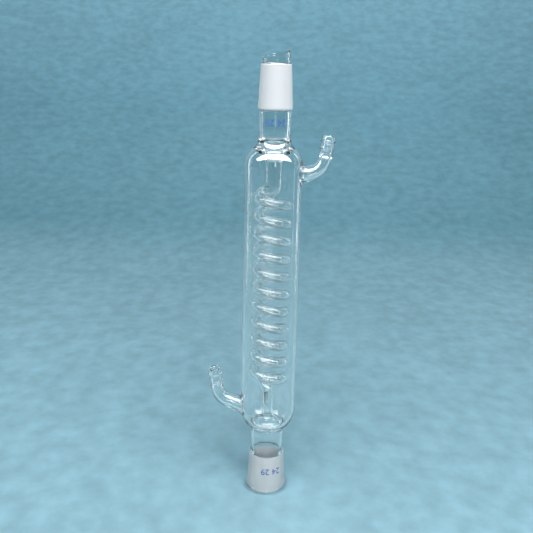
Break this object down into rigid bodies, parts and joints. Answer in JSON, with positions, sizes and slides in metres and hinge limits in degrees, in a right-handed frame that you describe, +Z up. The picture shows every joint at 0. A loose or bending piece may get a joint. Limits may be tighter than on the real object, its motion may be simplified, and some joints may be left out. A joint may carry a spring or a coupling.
{
  "type": "graham condenser",
  "caption": "All-glass coil condenser: jacket with two barbed hose connections, coiled inner tube, ground socket below and ground cone with a slanting drip tip above.",
  "frame": {"origin": "centre of the socket's rim, in the plane that the condenser stands on", "axes": "+Z up along the axis from the socket to the drip tip, +X towards the upper hose connection, -X towards the lower one"},
  "size_m": [0.0876, 0.0405, 0.3288],
  "materials": {
    "clear_glass": "clear and fire polished, with the cone's outside and the socket's bore ground"
  },
  "bodies": {
    "root": {"condenser": "clear_glass"}
  },
  "joints": []
}
